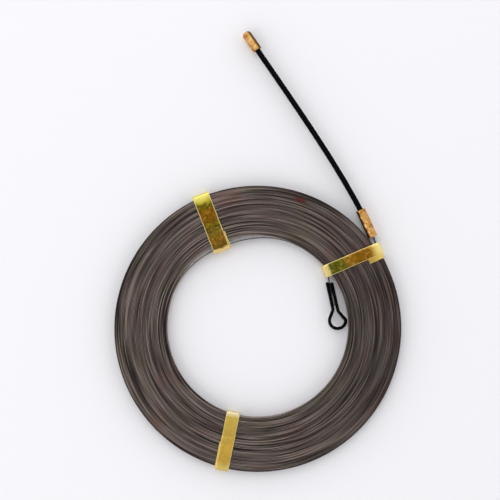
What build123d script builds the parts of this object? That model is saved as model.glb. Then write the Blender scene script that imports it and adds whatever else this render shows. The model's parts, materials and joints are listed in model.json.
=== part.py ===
"""Flat steel fish tape wound into a bare coil, with brass straps, a flexible leader and a pulling eye.

The coil lies flat. Its axis is +Z, and the origin is on that axis in the plane that the coil rests on.
Lengths are millimetres and angles are degrees, counted anticlockwise from +X as seen from above.
"""

from build123d import *

from math import acos, asin, atan2, cos, degrees, hypot, pi, radians, sin, sqrt
import os

# Tape: one strip of blued spring steel, wound on edge so that its edges make the coil's flat sides
TAPE_THICK = 1.0
TAPE_WIDTH = 5.0
COIL_RADIUS = 125.0
HOLE_RADIUS = 78.6
HOLE_SHIFT = 1.0  # slack gathers on the -Y side, so the hole's centre sits this far towards +Y
TIGHT_BANDS = 3  # groups of windings that lie tight on each other, told apart by the gaps between them
UPPER_GAP = 0.12  # gap between two bands on the +Y side

# Outer end of the tape, which leaves the coil in a straight line for the ferrule
LEAVE_ANGLE = 24.8
OUTER_RUN = 29.8
TAPE_GRIP = 11.0  # length of tape inside the ferrule

# Inner end of the tape: a slack stretch of winding, then a bend towards the eye
SLACK_GAP = 2.8
SLACK_START = 143.0
SLACK_END = 62.0
SLACK_POINTS = 5
HOOK_START = 47.0
HOOK_RADIUS = 24.5
HOOK_RUN = 3.2  # straight tape between the bend and the flexing point, which lies clear of the side strap
TAIL_LENGTH = 23.8
TAIL_CUT = 0.55  # open length at the tape's flexing point

# Brass straps: a strip wrapped round the coil, with its ends lapped on the upper side
STRIP_THICK = 0.5
STRAP_PLAY = 0.35  # between the strip and the tape's edges
LAP_GAP = 0.08
RAMP_LENGTH = 3.0
RAMP_BEND = 2.0
LAP_RETURN = 3.4  # how far the covering end comes down round the coil
LAP_GRIP = 8.0  # straight strip on the underside beside each bend
RIM_BEND = 1.9  # bend radius inside the strip
TOP_HEADING = 111.3
TOP_OFFSET = 4.2  # from the coil's axis sideways to the middle of the strip
TOP_WIDTH = 14.6
TOP_HOLE_ROOM = 4.4  # from the mean hole to the strip, which the slack stretch passes through
TOP_RIM_ROOM = 1.1
TOP_LAP = 15.0  # length of the covered end
TOP_SKEW = 1.1  # how far the covered end stands out sideways
TOP_HOLE_BEND = 1.9
SIDE_HEADING = 23.4
SIDE_TO_END = 1.5  # straight tape that stands out of this strap at the inner end
SIDE_TAPE_ROOM = 1.07  # from that tape to the strip at the hole
SIDE_WIDTH = 10.5
SIDE_RIM_ROOM = 0.7
SIDE_LAP = 14.0
SIDE_SKEW = 4.0
SIDE_HOLE_BEND = 1.6
BOTTOM_HEADING = -101.5
BOTTOM_OFFSET = -5.9
BOTTOM_WIDTH = 11.4
BOTTOM_HOLE_ROOM = 2.7
BOTTOM_RIM_ROOM = 1.6
BOTTOM_LAP = 24.0
BOTTOM_SKEW = 0.9
BOTTOM_HOLE_BEND = 1.0

# Leader: steel rope in a black sheath, crimped into metal at both ends
SHEATH_RADIUS = 2.4
CORE_RADIUS = 1.5
CORE_SIDES = 12  # six strands and the hollows between them
CORE_PLAY = 0.03
LEADER_LENGTH = 165.6
LINKS = 6
SHEATH_CUT = 1.2  # open length at each flexing point
CORE_CUT = 0.9
FIRST_TURN = 4.4  # the leader's rest curve turns most beside the ferrule
TURN_RATIO = 0.57

# Ferrule
FERRULE_RADIUS = 4.2
FERRULE_LENGTH = 26.0
FERRULE_GRIP = 12.0  # length of leader inside
LEADER_FIT = 0.05
TAPE_FIT = 0.06
EDGE_BREAK = 0.4
DENT_RADIUS = 2.6
DENT_DEPTH = 0.5
DENT_PITCH = 7.0
MOUTH_STUB = 1.3  # leader standing out of the ferrule before the first flexing point

# Nose
NOSE_RADIUS = 4.0
NOSE_LENGTH = 19.2
NOSE_ROUND = 3.6
NOSE_CUTS = (0, 32, 68)
NOSE_GRIP = 10.0

# Pulling eye: one wire, bent to a pear-shaped loop whose two legs hold the tape between them.
# Lengths along it start at the tape's flexing point, and across it the coil's side is positive.
WIRE_RADIUS = 1.25
WIRE_SIDES = 16  # the lacquered strands make the wire's section a polygon
EYE_SEAT = 0.03
EYE_START = 2.4
EYE_STAGGER = 1.0  # the leg beside the coil starts this much later
EYE_NECK = 27.0  # place along it where the leg away from the coil bends
NECK_STAGGER = 2.2  # the leg beside the coil bends this much later
NECK_BEND = 5.0
LOOP_REACH = 37.0  # place of the loop's centre along it and across it
LOOP_SHIFT = -0.1
LOOP_RADIUS = 7.05
LOOP_BEND = 6.9
KINK_ANGLE = 77.0  # place of the sharp side, round the loop's centre from the eye's end
KINK_REACH = 7.3
KINK_BEND = 2.2
EYE_WALL_ROOM = 1.7  # from the tight windings to the corner of the sharp side

MID_HEIGHT = FERRULE_RADIUS  # the ferrule is the thickest piece, and it lies on the ground
HALF_WIDTH = TAPE_WIDTH / 2


def unit(angle):
    """Direction in the coil's plane."""
    return Vector(cos(radians(angle)), sin(radians(angle)), 0)


def at(radius, angle):
    """Point in the coil's plane, by its distance from the coil's axis and its angle."""
    return unit(angle) * radius


def lifted(point):
    """The same point at the height of the tape's middle."""
    return Vector(point.X, point.Y, MID_HEIGHT)


# ---------------------------------------------------------------- tape


def lower_gap():
    """Gap between two bands on the -Y side, which takes up the slack that shifts the hole."""
    slack = 2 * HOLE_SHIFT + TAPE_THICK + (TIGHT_BANDS + 3) * UPPER_GAP
    return slack / (TIGHT_BANDS + 2)


def band_thickness():
    """Thickness of a band, from the space that the single windings and the gaps leave."""
    build = COIL_RADIUS - (HOLE_RADIUS - HOLE_SHIFT) - 3 * TAPE_THICK
    return (build - (TIGHT_BANDS + 2) * lower_gap()) / TIGHT_BANDS


def winding_walls():
    """Outer and inner wall of the winding after each half turn, from the outside in.

    Even entries are distances down the -Y side and odd ones up the +Y side. The tape is single at
    both ends of the list and as thick as a band between them.
    """
    thickness = [TAPE_THICK] * 3 + [band_thickness()] * (2 * TIGHT_BANDS) + [TAPE_THICK] * 2
    walls = [(COIL_RADIUS, COIL_RADIUS - TAPE_THICK)]
    for step in range(1, len(thickness)):
        gap = UPPER_GAP if step % 2 else lower_gap()
        outer = walls[max(step - 2, 0)][1] - gap
        walls.append((outer, outer - thickness[step]))
    return walls


WALLS = winding_walls()


def half_turn(step, start, end):
    """Half circle between two points of the Y axis, by the left after an even step, else by the right."""
    side = -1 if step % 2 == 0 else 1
    first = Vector(0, side * start, 0)
    last = Vector(0, -side * end, 0)
    middle = (first + last) * 0.5 + Vector(side * (start + end) / 2, 0, 0)
    return ThreePointArc(first, middle, last)


def hole_wall(angle):
    """Distance from the coil's axis to the inside of the tight windings, at an angle."""
    top = WALLS[-2][1]
    low = WALLS[-3][1] if cos(radians(angle)) < 0 else WALLS[-1][1]
    radius = (top + low) / 2
    shift = (top - low) / 2
    return shift * sin(radians(angle)) + sqrt(radius**2 - (shift * cos(radians(angle))) ** 2)


def lining(angle, inset):
    """Point on a wall of the last winding where it lies against the tight ones."""
    return at(hole_wall(angle) - UPPER_GAP - inset, angle)


def slack_wall(inset):
    """A wall of the slack stretch, which eases away from the tight windings and back by a raised cosine."""
    points = []
    for index in range(SLACK_POINTS):
        share = index / (SLACK_POINTS - 1)
        angle = SLACK_START + share * (SLACK_END - SLACK_START)
        ease = SLACK_GAP * (1 - cos(2 * pi * share)) / 2
        points.append(lining(angle, inset + ease))
    return Spline(*points, tangents=[unit(SLACK_START - 90), unit(SLACK_END - 90)])


def eye_kink():
    """Corner of the eye's middle line at its sharp side, along and across."""
    along = LOOP_REACH + KINK_REACH * cos(radians(KINK_ANGLE))
    return along, LOOP_SHIFT + KINK_REACH * sin(radians(KINK_ANGLE))


def hook_turn():
    """Turn of the inner bend that sets the eye's sharp side a given distance from the tight windings.

    With the bend's centre as origin and the wall's centre q away, that corner is at distance h from the
    origin, so the cosine rule gives the turn at which it is at distance d from the wall's centre.
    """
    kink = eye_kink()
    wall = (WALLS[-2][1] + WALLS[-1][1]) / 2 - UPPER_GAP
    across = HOOK_RADIUS - TAPE_THICK / 2 + kink[1]
    along = HOOK_RUN + TAIL_CUT / 2 + kink[0]
    q, h, d = wall - HOOK_RADIUS, hypot(across, along), wall - EYE_WALL_ROOM
    return degrees(acos((d**2 - h**2 - q**2) / (2 * q * h)) - atan2(along, across))


def inner_run(inset):
    """One wall of the tape's last winding, from the -Y side to the end of its bend."""
    slack = slack_wall(inset)
    follow = ThreePointArc(Vector(0, inset - WALLS[-1][0], 0), lining(180, inset), slack @ 0)
    halfway = (SLACK_END + HOOK_START) / 2
    rejoin = ThreePointArc(slack @ 1, lining(halfway, inset), lining(HOOK_START, inset))
    hook = JernArc(rejoin @ 1, rejoin % 1, HOOK_RADIUS - inset, -hook_turn())
    run = Line(hook @ 1, hook @ 1 + (hook % 1) * HOOK_RUN)
    return [follow, slack, rejoin, hook, run]


def outer_run(radius):
    """One wall of the tape's first winding: straight out of the ferrule, then round to the -Y side."""
    leave = at(radius, LEAVE_ANGLE)
    end = leave + unit(LEAVE_ANGLE + 90) * (OUTER_RUN + TAPE_GRIP)
    bend = ThreePointArc(leave, at(radius, (LEAVE_ANGLE - 90) / 2), at(radius, -90))
    return [Line(end, leave), bend]


def steel_tape():
    """The wound tape as one strip, from the ferrule round the coil to the bend at its inner end."""
    outside = outer_run(COIL_RADIUS)
    inside = outer_run(COIL_RADIUS - TAPE_THICK)
    for step in range(len(WALLS) - 1):
        outside.append(half_turn(step, WALLS[step][0], WALLS[step + 1][0]))
        inside.append(half_turn(step, WALLS[step][1], WALLS[step + 1][1]))
    outside += inner_run(0)
    inside += inner_run(TAPE_THICK)
    ends = [Line(outside[0] @ 0, inside[0] @ 0), Line(outside[-1] @ 1, inside[-1] @ 1)]
    strip = make_face(Curve() + outside + inside + ends)
    return Pos(0, 0, MID_HEIGHT - HALF_WIDTH) * extrude(strip, amount=TAPE_WIDTH)


def tape_end(back):
    """Point on the tape's inner face, a distance back from its end in the coil."""
    face = inner_run(TAPE_THICK)[-1]
    return face @ 1 - (face % 1) * back


def flexing_point():
    """Frame at the tape's flexing point: x runs on along the tape and z is up."""
    outer, inner = inner_run(0)[-1], inner_run(TAPE_THICK)[-1]
    heading = outer % 1
    origin = lifted((outer @ 1 + inner @ 1) * 0.5) + heading * (TAIL_CUT / 2)
    return Plane(origin=origin, x_dir=heading, z_dir=(0, 0, 1))


def tape_tail():
    """The tape's inner end beyond its flexing point, held in the eye."""
    tail = Box(TAIL_LENGTH, TAPE_THICK, TAPE_WIDTH, align=(Align.MIN, Align.CENTER, Align.CENTER))
    return flexing_point() * Pos(TAIL_CUT / 2, 0, 0) * tail


# ---------------------------------------------------------------- pulling eye


def loop_corner(first, second):
    """Corner where the loop's tangents meet, from the angles of the two points that they touch."""
    reach = LOOP_RADIUS / cos(radians(second - first) / 2)
    middle = radians(first + second) / 2
    return LOOP_REACH + reach * cos(middle), LOOP_SHIFT + reach * sin(middle)


def eye_path():
    """Corners and bends of the eye's middle line, from the leg beside the coil."""
    leg = TAPE_THICK / 2 + EYE_SEAT + WIRE_RADIUS
    # both sides run straight to the points where they touch the loop's circle
    after_kink = KINK_ANGLE - degrees(acos(LOOP_RADIUS / KINK_REACH))
    away, aside = LOOP_REACH - EYE_NECK, LOOP_SHIFT + leg
    before_neck = degrees(atan2(aside, away) - asin(LOOP_RADIUS / hypot(away, aside))) - 90
    points = [
        (EYE_START + EYE_STAGGER, leg),
        (EYE_NECK + NECK_STAGGER, leg),
        eye_kink(),
        loop_corner(0, after_kink),
        loop_corner(before_neck, 0),
        (EYE_NECK, -leg),
        (EYE_START, -leg),
    ]
    return points, [NECK_BEND, KINK_BEND, LOOP_BEND, LOOP_BEND, NECK_BEND]


def pulling_eye():
    """Pear-shaped loop of wire on the end of the tape."""
    points, bends = eye_path()
    path = FilletPolyline(*points, radius=bends)
    start = Plane(origin=path @ 0, z_dir=path % 0)
    wire = sweep(start * RegularPolygon(WIRE_RADIUS, WIRE_SIDES), path=path)
    return flexing_point() * wire


# ---------------------------------------------------------------- straps


class Strap:
    """Sizes of one strap, counted along it from the coil's axis and across it anticlockwise."""

    def __init__(self, heading, offset, width, inner, outer, lap, lap_outside, skew, hole_bend):
        self.heading = heading
        self.offset = offset  # middle of the strip, across
        self.width = width
        self.inner = inner  # inside face of the strip at the hole
        self.outer = outer  # inside face of the strip at the rim
        self.lap = lap
        self.lap_outside = lap_outside  # the covered end starts at the rim, or else at the hole
        self.skew = skew
        self.bends = (hole_bend, RIM_BEND)


SIDE_HOLD = tape_end(SIDE_TO_END)

STRAPS = {
    "strap_top": Strap(
        TOP_HEADING,
        TOP_OFFSET,
        TOP_WIDTH,
        HOLE_RADIUS - TOP_HOLE_ROOM,
        COIL_RADIUS + TOP_RIM_ROOM,
        TOP_LAP,
        False,
        TOP_SKEW,
        TOP_HOLE_BEND,
    ),
    "strap_side": Strap(
        SIDE_HEADING,
        SIDE_HOLD.dot(unit(SIDE_HEADING + 90)) + SIDE_WIDTH / 2,
        SIDE_WIDTH,
        SIDE_HOLD.dot(unit(SIDE_HEADING)) - SIDE_TAPE_ROOM,
        COIL_RADIUS + SIDE_RIM_ROOM,
        SIDE_LAP,
        True,
        SIDE_SKEW,
        SIDE_HOLE_BEND,
    ),
    "strap_bottom": Strap(
        BOTTOM_HEADING,
        BOTTOM_OFFSET,
        BOTTOM_WIDTH,
        HOLE_RADIUS - BOTTOM_HOLE_ROOM,
        COIL_RADIUS + BOTTOM_RIM_ROOM,
        BOTTOM_LAP,
        True,
        BOTTOM_SKEW,
        BOTTOM_HOLE_BEND,
    ),
}


def strip(points, bends):
    """Side view of a bent strip, from the points and bend radii of its middle line."""
    return trace(FilletPolyline(*points, radius=bends), line_width=STRIP_THICK)


def folded_strap(strap):
    """One strip that starts on the upper side, goes round the coil and ends lapped over its own start."""
    half = STRIP_THICK / 2
    level = HALF_WIDTH + STRAP_PLAY + half
    cover = STRIP_THICK + LAP_GAP
    # near is the end where the strip starts, far is the other; both are drawn from near to far
    sign = -1 if strap.lap_outside else 1
    near = strap.outer + half if strap.lap_outside else strap.inner - half
    far = strap.inner - half if strap.lap_outside else strap.outer + half
    near_bend = strap.bends[1 if strap.lap_outside else 0] + half
    far_bend = strap.bends[0 if strap.lap_outside else 1] + half
    lap_end = near + sign * strap.lap
    back_near = near + sign * (near_bend + LAP_GRIP)
    back_far = far - sign * (far_bend + LAP_GRIP)
    under = strip([(lap_end, level), (near, level), (near, -level), (back_near, -level)], [near_bend] * 2)
    outside = near - sign * cover
    ramp = lap_end + sign * RAMP_LENGTH
    over_points = [
        (back_far, -level),
        (far, -level),
        (far, level),
        (ramp + sign * RAMP_LENGTH, level),
        (ramp, level + cover),
        (outside, level + cover),
        (outside, level + cover - near_bend - LAP_RETURN),
    ]
    over = strip(over_points, [far_bend, far_bend, RAMP_BEND, RAMP_BEND, near_bend + cover])

    view = Plane(origin=(0, 0, MID_HEIGHT), x_dir=unit(strap.heading), z_dir=-unit(strap.heading + 90))
    skew = -strap.skew

    def across(profile, shift):
        """The strip's profile drawn out over its width, shifted sideways."""
        start = Pos(0, 0, -(strap.offset + shift + strap.width / 2))
        return view * start * extrude(profile, amount=strap.width)

    along = Plane(origin=(0, 0, MID_HEIGHT - level - half), x_dir=unit(strap.heading), z_dir=(0, 0, 1))
    low = strap.offset - strap.width / 2
    high = strap.offset + strap.width / 2
    corners = [
        (back_near, low + skew),
        (back_near, high + skew),
        (back_far, high),
        (back_far, low),
    ]
    back = along * extrude(make_face(Polyline(*corners, close=True)), amount=STRIP_THICK)
    return across(under, skew) + back + across(over, 0)


# ---------------------------------------------------------------- ferrule and leader


def ferrule_frame():
    """Frame at the ferrule's lower end: z runs along it towards the leader."""
    middle = at(COIL_RADIUS - TAPE_THICK / 2, LEAVE_ANGLE)
    heading = unit(LEAVE_ANGLE + 90)
    return Plane(origin=lifted(middle + heading * OUTER_RUN), x_dir=(0, 0, 1), z_dir=heading)


def ferrule():
    """Crimped sleeve that joins the tape to the leader."""
    sleeve = Cylinder(FERRULE_RADIUS, FERRULE_LENGTH, align=(Align.CENTER, Align.CENTER, Align.MIN))
    sleeve = chamfer(sleeve.edges().filter_by(GeomType.CIRCLE), EDGE_BREAK)
    bore = Cylinder(SHEATH_RADIUS + LEADER_FIT, FERRULE_GRIP, align=(Align.CENTER, Align.CENTER, Align.MIN))
    sleeve -= Pos(0, 0, FERRULE_LENGTH - FERRULE_GRIP) * bore
    slot = Box(
        TAPE_WIDTH + 2 * TAPE_FIT,
        TAPE_THICK + 2 * TAPE_FIT,
        TAPE_GRIP + TAPE_FIT,
        align=(Align.CENTER, Align.CENTER, Align.MIN),
    )
    sleeve -= slot
    dent = Rot(90, 0, 0) * Cylinder(DENT_RADIUS, 2 * FERRULE_RADIUS)
    for place in (-1, 1):
        along = FERRULE_LENGTH / 2 + place * DENT_PITCH / 2
        for side in (-1, 1):
            depth = side * (FERRULE_RADIUS + DENT_RADIUS - DENT_DEPTH)
            sleeve -= Pos(depth, 0, along) * dent
    return ferrule_frame() * sleeve


def leader_frames():
    """Frames at the leader's flexing points, with z along the next link. The last one is at the nose."""
    mouth = ferrule_frame() * Pos(0, 0, FERRULE_LENGTH + MOUTH_STUB)
    point = mouth.position
    heading = LEAVE_ANGLE + 90
    length = (LEADER_LENGTH - MOUTH_STUB) / LINKS
    frames = []
    for index in range(LINKS):
        heading += FIRST_TURN * TURN_RATIO**index
        frames.append(Plane(origin=point, x_dir=(0, 0, 1), z_dir=unit(heading)))
        point = point + unit(heading) * length
    frames.append(Plane(origin=point, x_dir=(0, 0, 1), z_dir=unit(heading)))
    return frames


def leader_length(radius, start, end):
    """Round rod between two distances along a link."""
    return Pos(0, 0, start) * Cylinder(radius, end - start, align=(Align.CENTER, Align.CENTER, Align.MIN))


def leader_link(frame, start, end, start_open, end_open):
    """Sheath and core of one link. An open end stops short of its flexing point."""
    bore = CORE_RADIUS + CORE_PLAY
    first = start + start_open * SHEATH_CUT / 2
    last = end - end_open * SHEATH_CUT / 2
    sheath = leader_length(SHEATH_RADIUS, first, last) - leader_length(bore, first, last)
    core_first = start + start_open * CORE_CUT / 2
    core_last = end - end_open * CORE_CUT / 2
    rope = extrude(RegularPolygon(CORE_RADIUS, CORE_SIDES), amount=core_last - core_first)
    return frame * sheath, frame * Pos(0, 0, core_first) * rope


def leader():
    """All links of the leader by node name, from the one in the ferrule to the one in the nose."""
    frames = leader_frames()
    length = (LEADER_LENGTH - MOUTH_STUB) / LINKS
    root = ferrule_frame() * Pos(0, 0, FERRULE_LENGTH)
    sheath, core = leader_link(Plane(root), -FERRULE_GRIP, MOUTH_STUB, False, True)
    nodes = {"leader_sheath_root": sheath, "leader_core_root": core}
    for index in range(LINKS):
        last = index == LINKS - 1
        end = length + NOSE_GRIP if last else length
        sheath, core = leader_link(frames[index], 0, end, True, not last)
        nodes[f"leader_sheath_{index + 1}"] = sheath
        nodes[f"leader_core_{index + 1}"] = core
    return nodes


def leader_nose():
    """Nose on the leader's end, turned to a bullet shape in a few flat cuts."""
    shank = NOSE_LENGTH - NOSE_ROUND
    outline = [(0, 0), (NOSE_RADIUS - EDGE_BREAK, 0), (NOSE_RADIUS, EDGE_BREAK)]
    for angle in NOSE_CUTS:
        outline.append((NOSE_RADIUS * cos(radians(angle)), shank + NOSE_ROUND * sin(radians(angle))))
    outline.append((0, outline[-1][1]))
    nose = revolve(Plane.XZ * make_face(Polyline(*outline, close=True)), Axis.Z)
    bore = Cylinder(SHEATH_RADIUS + LEADER_FIT, NOSE_GRIP, align=(Align.CENTER, Align.CENTER, Align.MIN))
    return leader_frames()[-1] * (nose - bore)


# ---------------------------------------------------------------- the whole part


def all_nodes():
    """Every piece by its node name."""
    nodes = {
        "steel_tape": steel_tape(),
        "tape_tail": tape_tail(),
        "pulling_eye": pulling_eye(),
        "ferrule": ferrule(),
        "leader_nose": leader_nose(),
    }
    nodes.update({name: folded_strap(strap) for name, strap in STRAPS.items()})
    nodes.update(leader())
    return nodes


if __name__ == "__main__":
    os.makedirs("parts", exist_ok=True)
    for node, shape in all_nodes().items():
        export_step(shape, f"parts/{node}.step")
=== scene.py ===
"""A flat steel fish tape: the wound tape, its brass straps, the flexible leader and the pulling eye.

Every piece is a surface worked out with numpy, in metres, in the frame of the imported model: the coil's
axis is Z, the ground is z = 0, and the leader's nose lies towards +Y.
"""

import json
from collections import namedtuple
from math import acos, asin, atan2, cos, degrees, hypot, pi, radians, sin, tan

import bpy
import numpy as np
from bpy.props import FloatProperty, FloatVectorProperty, IntProperty, PointerProperty
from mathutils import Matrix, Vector


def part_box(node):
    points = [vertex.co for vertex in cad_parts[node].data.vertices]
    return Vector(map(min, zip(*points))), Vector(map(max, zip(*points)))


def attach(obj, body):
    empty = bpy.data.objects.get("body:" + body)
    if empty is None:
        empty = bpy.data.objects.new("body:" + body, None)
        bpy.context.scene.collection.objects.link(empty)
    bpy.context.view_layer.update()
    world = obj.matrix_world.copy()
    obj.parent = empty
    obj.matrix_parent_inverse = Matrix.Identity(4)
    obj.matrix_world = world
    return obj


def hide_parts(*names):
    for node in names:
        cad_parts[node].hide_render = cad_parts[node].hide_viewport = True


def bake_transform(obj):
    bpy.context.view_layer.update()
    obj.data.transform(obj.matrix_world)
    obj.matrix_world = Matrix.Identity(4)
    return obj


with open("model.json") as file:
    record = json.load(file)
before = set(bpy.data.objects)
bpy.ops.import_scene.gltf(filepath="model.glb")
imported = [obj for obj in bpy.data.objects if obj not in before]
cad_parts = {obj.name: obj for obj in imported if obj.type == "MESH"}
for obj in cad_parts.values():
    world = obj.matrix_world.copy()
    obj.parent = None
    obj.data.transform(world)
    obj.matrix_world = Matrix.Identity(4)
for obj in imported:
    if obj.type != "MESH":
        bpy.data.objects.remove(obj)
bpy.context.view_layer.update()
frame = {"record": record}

bl_info = {
    "name": "Fish tape",
    "version": (1, 0, 0),
    "blender": (4, 5, 0),
    "location": "View3D > Sidebar > Fish tape",
    "description": "Builds a flat steel fish tape with its straps, leader and pulling eye",
    "category": "Add Mesh",
}

MM = 0.001
JOINTS = {joint["name"]: joint for joint in frame["record"]["behaviour"]["joints"]}
TAPE_LOW, TAPE_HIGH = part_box("steel_tape")
HALF_TAPE = (TAPE_HIGH[2] - TAPE_LOW[2]) / 2
MID_HEIGHT = (TAPE_LOW[2] + TAPE_HIGH[2]) / 2


def linear(code):
    """Linear colour of an sRGB hex value."""
    channels = np.array([int(code[place : place + 2], 16) for place in (1, 3, 5)]) / 255
    low = channels / 12.92
    high = ((channels + 0.055) / 1.055) ** 2.4
    return tuple(float(value) for value in np.where(channels <= 0.04045, low, high))


# ---------------- settings


def length(title, text, value):
    """A length in metres that the user can change."""
    return FloatProperty(
        name=title, description=text, default=value, min=0.0, subtype="DISTANCE", unit="LENGTH"
    )


def colour(title, text, code):
    """A colour that the user can change."""
    return FloatVectorProperty(
        name=title, description=text, default=linear(code), subtype="COLOR", size=3, min=0, max=1
    )


def power(title, text, value):
    """A lamp's power in watts that the user can change."""
    return FloatProperty(name=title, description=text, default=value, min=0, unit="POWER")


class TapeSettings(bpy.types.PropertyGroup):
    """Sizes and colours of the wound tape."""

    coil_radius: length("Coil radius", "Outside radius of the coil", 125 * MM)
    hole_radius: length("Hole radius", "Mean radius inside the last winding", 78.6 * MM)
    hole_shift: length("Hole shift", "How far the hole's centre sits towards +Y", 1.0 * MM)
    thickness: length("Thickness", "Thickness of the tape", 1.0 * MM)
    edge_round: length("Edge round", "How far the rolled edges are rounded", 0.27 * MM)
    unevenness: length("Unevenness", "How far windings stand above or below their neighbours", 0.2 * MM)
    windings: IntProperty(name="Windings", description="Turns on the -Y side", default=41, min=3)
    dark: colour("Dark", "Colour of the darkest windings", "#2A2422")
    steel: colour("Steel", "Colour of the blued steel", "#605651")
    bright: colour("Bright", "Colour of edges rubbed bright", "#8E8078")
    rust: colour("Rust", "Colour of the rust spot", "#5E2018")


class StrapSettings(bpy.types.PropertyGroup):
    """Sizes and colours of the brass straps."""

    thickness: length("Thickness", "Thickness of the strip", 0.5 * MM)
    play: length("Play", "Room between the strip and the tape's edges", 0.35 * MM)
    # also the colour of the worn edges and their painted highlight
    bright: colour("Bright", "Colour of clean brass", "#E4D28A")
    stain: colour("Stain", "Colour of the green tarnish", "#454210")


class LeaderSettings(bpy.types.PropertyGroup):
    """Sizes and colours of the leader and its metal ends."""

    radius: length("Radius", "Radius of the black sheath", 2.4 * MM)
    metal_radius: length("Ferrule radius", "Radius of the ferrule", 4.2 * MM)
    nose_radius: length("Nose radius", "Radius of the nose", 4.0 * MM)
    sheath: colour("Sheath", "Colour of the sheath", "#030304")
    copper: colour("Copper", "Colour of the plated brass", "#C4924E")
    # painted shade down one side of the ferrule and the nose
    oxide: colour("Oxide", "Colour of the stained side", "#2E1B0C")


class EyeSettings(bpy.types.PropertyGroup):
    """Sizes and colours of the pulling eye."""

    wire_radius: length("Wire radius", "Radius of the wire", 1.45 * MM)
    lay: length("Lay", "Length over which the wire's strands make one turn", 9.0 * MM)
    lacquer: colour("Lacquer", "Colour of the lacquer", "#020202")


class StageSettings(bpy.types.PropertyGroup):
    """Floor, light and camera."""

    floor: colour("Floor", "Colour of the floor", "#FBFAFB")
    camera_height: length("Camera height", "Height of the camera above the coil", 0.85)
    view_width: length("View width", "Width that the camera sees at the coil", 0.4355)
    key_power: power("Key power", "Power of the large lamp", 7.8)
    fill_power: power("Fill power", "Power of the small lamp", 1.45)


class FishTapeSettings(bpy.types.PropertyGroup):
    """All settings of the fish tape."""

    tape: PointerProperty(type=TapeSettings)
    strap: PointerProperty(type=StrapSettings)
    leader: PointerProperty(type=LeaderSettings)
    eye: PointerProperty(type=EyeSettings)
    stage: PointerProperty(type=StageSettings)


# ---------------- surfaces

ARC_STEP = radians(8)  # most turn between two points of a rounded corner


def unit(angle):
    """Direction in the ground plane at an angle in degrees, which may be an array."""
    turn = np.radians(angle)
    return np.stack([np.cos(turn), np.sin(turn)], axis=-1)


def to_unit(vectors):
    """Vectors scaled to length 1."""
    return vectors / np.linalg.norm(vectors, axis=-1, keepdims=True)


def lefts(headings):
    """Plane directions turned 90 degrees to the left: (x, y) to (-y, x)."""
    return np.stack([-headings[:, 1], headings[:, 0]], axis=-1)


def along(path):
    """Distance travelled at each point of a path: the running sum of its steps' lengths."""
    steps = np.linalg.norm(np.diff(path, axis=0), axis=1)
    return np.concatenate([[0.0], np.cumsum(steps)])


def points_at(line, travel, spots):
    """Points of a plane line at given distances along it."""
    return np.stack([np.interp(spots, travel, line[:, axis]) for axis in (0, 1)], axis=-1)


def rounded(points, radii, step):
    """Polyline with its inner corners rounded, at most one step between points.

    A corner with turn a and radius r is an arc that touches both runs r tan(a / 2) from the corner.
    """
    corners = np.asarray(points, float)
    stations = [corners[0]]
    for corner, before, after, radius in zip(corners[1:-1], corners[:-2], corners[2:], radii):
        into = to_unit(corner - before)
        out = to_unit(after - corner)
        turn = atan2(into[0] * out[1] - into[1] * out[0], into @ out)
        left = np.array([-into[1], into[0]]) * np.sign(turn)
        start = corner - into * radius * tan(abs(turn) / 2)
        swept = np.linspace(0, abs(turn), max(3, int(abs(turn) / ARC_STEP) + 2))[:, None]
        stations += list(start + radius * (np.sin(swept) * into + (1 - np.cos(swept)) * left))
    stations = np.array(stations + [corners[-1]])
    runs = along(stations)
    extra = np.arange(step, runs[-1], step)
    spots = np.unique(np.round(np.concatenate([runs, extra]), 7))
    return points_at(stations, runs, spots)


def closed_mesh(name, rings, material, attributes):
    """Closed piece from a grid of points: rings along it, and points round each ring.

    Quads join each ring to the next and each end ring is one face. The sum of corner . (corner x corner)
    over the quads' triangles is about six times the volume. Where it is negative the faces are turned over.
    An attribute has a value for each point, or one for each ring or each place round it.
    """
    count, around = rings.shape[:2]
    index = np.arange(count * around).reshape(count, around)
    here, right = index[:-1], np.roll(index, -1, axis=1)[:-1]
    above, diagonal = index[1:], np.roll(index, -1, axis=1)[1:]
    quads = np.stack([here, right, diagonal, above], axis=-1).reshape(-1, 4)
    points = rings.reshape(-1, 3)
    a, b, c, d = (points[quads[:, corner]] for corner in range(4))
    volume = np.sum(a * np.cross(b, c)) + np.sum(a * np.cross(c, d))
    first, last = index[0][::-1], index[-1]
    if volume < 0:
        quads, first, last = quads[:, ::-1], first[::-1], last[::-1]
    mesh = bpy.data.meshes.new(name)
    mesh.from_pydata(points.tolist(), [], quads.tolist() + [first.tolist(), last.tolist()])
    mesh.polygons.foreach_set("use_smooth", np.ones(len(mesh.polygons), bool))
    for key, values in attributes.items():
        spread = np.broadcast_to(values, (count, around)).reshape(-1).astype(np.float32)
        mesh.attributes.new(key, "FLOAT", "POINT").data.foreach_set("value", spread)
    mesh.validate()
    mesh.update()
    mesh.materials.append(material)
    piece = bpy.data.objects.new(name, mesh)
    bpy.context.scene.collection.objects.link(piece)
    return piece


def carried(path, section, height):
    """Section carried along a path in the ground plane: point + across x left + (height + up) x Z."""
    left = lefts(to_unit(np.gradient(path, axis=0)))
    flat = path[:, None, :] + section[None, :, 0:1] * left[:, None, :]
    up = np.broadcast_to(height, len(path))[:, None, None] + section[None, :, 1:2]
    return np.concatenate([flat, up], axis=-1)


def ring_angles(sides):
    """Angles of the points round a ring."""
    return np.linspace(0, 2 * pi, sides, endpoint=False)


def round_rings(centres, headings, radius, turns):
    """Rings about a line in the ground plane: centre + radius (cos a x Z + sin a x left)."""
    flat = centres[:, None, :] + (radius * np.sin(turns))[..., None] * lefts(headings)[:, None, :]
    up = np.broadcast_to(MID_HEIGHT + radius * np.cos(turns), flat.shape[:2])
    return np.concatenate([flat, up[..., None]], axis=-1)


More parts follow.
